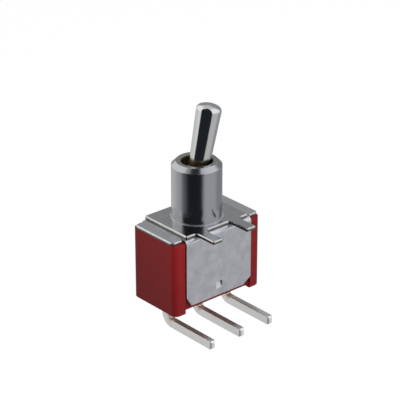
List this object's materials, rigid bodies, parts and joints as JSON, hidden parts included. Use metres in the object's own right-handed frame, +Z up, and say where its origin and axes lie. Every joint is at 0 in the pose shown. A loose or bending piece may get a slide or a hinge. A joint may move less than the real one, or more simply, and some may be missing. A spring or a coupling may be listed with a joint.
{
  "type": "toggle switch",
  "caption": "Miniature toggle switch with a chromed bat lever in a plain bushing, a red case in a folded steel frame, and right-angle board terminals.",
  "frame": {"origin": "on the bushing axis, at the top face of the bracket, which seats behind a panel", "axes": "+Z up along the bushing axis, X along the case and the line of terminals with the lever thrown towards +X, -Y the way the terminals turn"},
  "size_m": [0.0138, 0.0125, 0.0275],
  "materials": {
    "case": "moulded",
    "frame": "satin",
    "bracket": "satin",
    "bushing": "polished",
    "lever": "polished",
    "pivot_pin": "ground",
    "plunger": "moulded",
    "spring": "drawn",
    "rocker": "stamped",
    "moving_contact_left": "clad",
    "moving_contact_right": "clad",
    "fixed_contact_left": "clad",
    "fixed_contact_right": "clad",
    "terminal_left": "tinned",
    "terminal_centre": "tinned",
    "terminal_right": "tinned",
    "terminal_seal": "cast"
  },
  "bodies": {
    "base": {"case": "case", "frame": "frame", "bracket": "bracket", "bushing": "bushing", "terminal_left": "terminal_left", "terminal_centre": "terminal_centre", "terminal_right": "terminal_right", "terminal_seal": "terminal_seal", "fixed_contact_left": "fixed_contact_left", "fixed_contact_right": "fixed_contact_right"},
    "lever": {"lever": "lever", "pivot_pin": "pivot_pin", "spring": "spring"},
    "plunger": {"plunger": "plunger"},
    "rocker": {"rocker": "rocker", "moving_contact_left": "moving_contact_left", "moving_contact_right": "moving_contact_right"}
  },
  "joints": [
    {"name": "lever_throw", "type": "hinge", "parent": "base", "child": "lever", "pos_m": [0, 0, 0.0049], "axis": [0, 1, 0], "range_deg": [-26, 0]},
    {"name": "plunger_slide", "type": "slide", "parent": "lever", "child": "plunger", "axis": [-0.225, 0, -0.9744], "range_m": [-0.0003, 0], "stiffness_N_per_m": 60, "deforming": ["spring"]},
    {"name": "rocker_tilt", "type": "hinge", "parent": "base", "child": "rocker", "pos_m": [0, 0, -0.0056], "axis": [0, 1, 0], "range_deg": [0, 13]}
  ],
  "couplings": [
    {"joint": "rocker_tilt", "follows": "lever_throw", "ratio": -0.5}
  ]
}
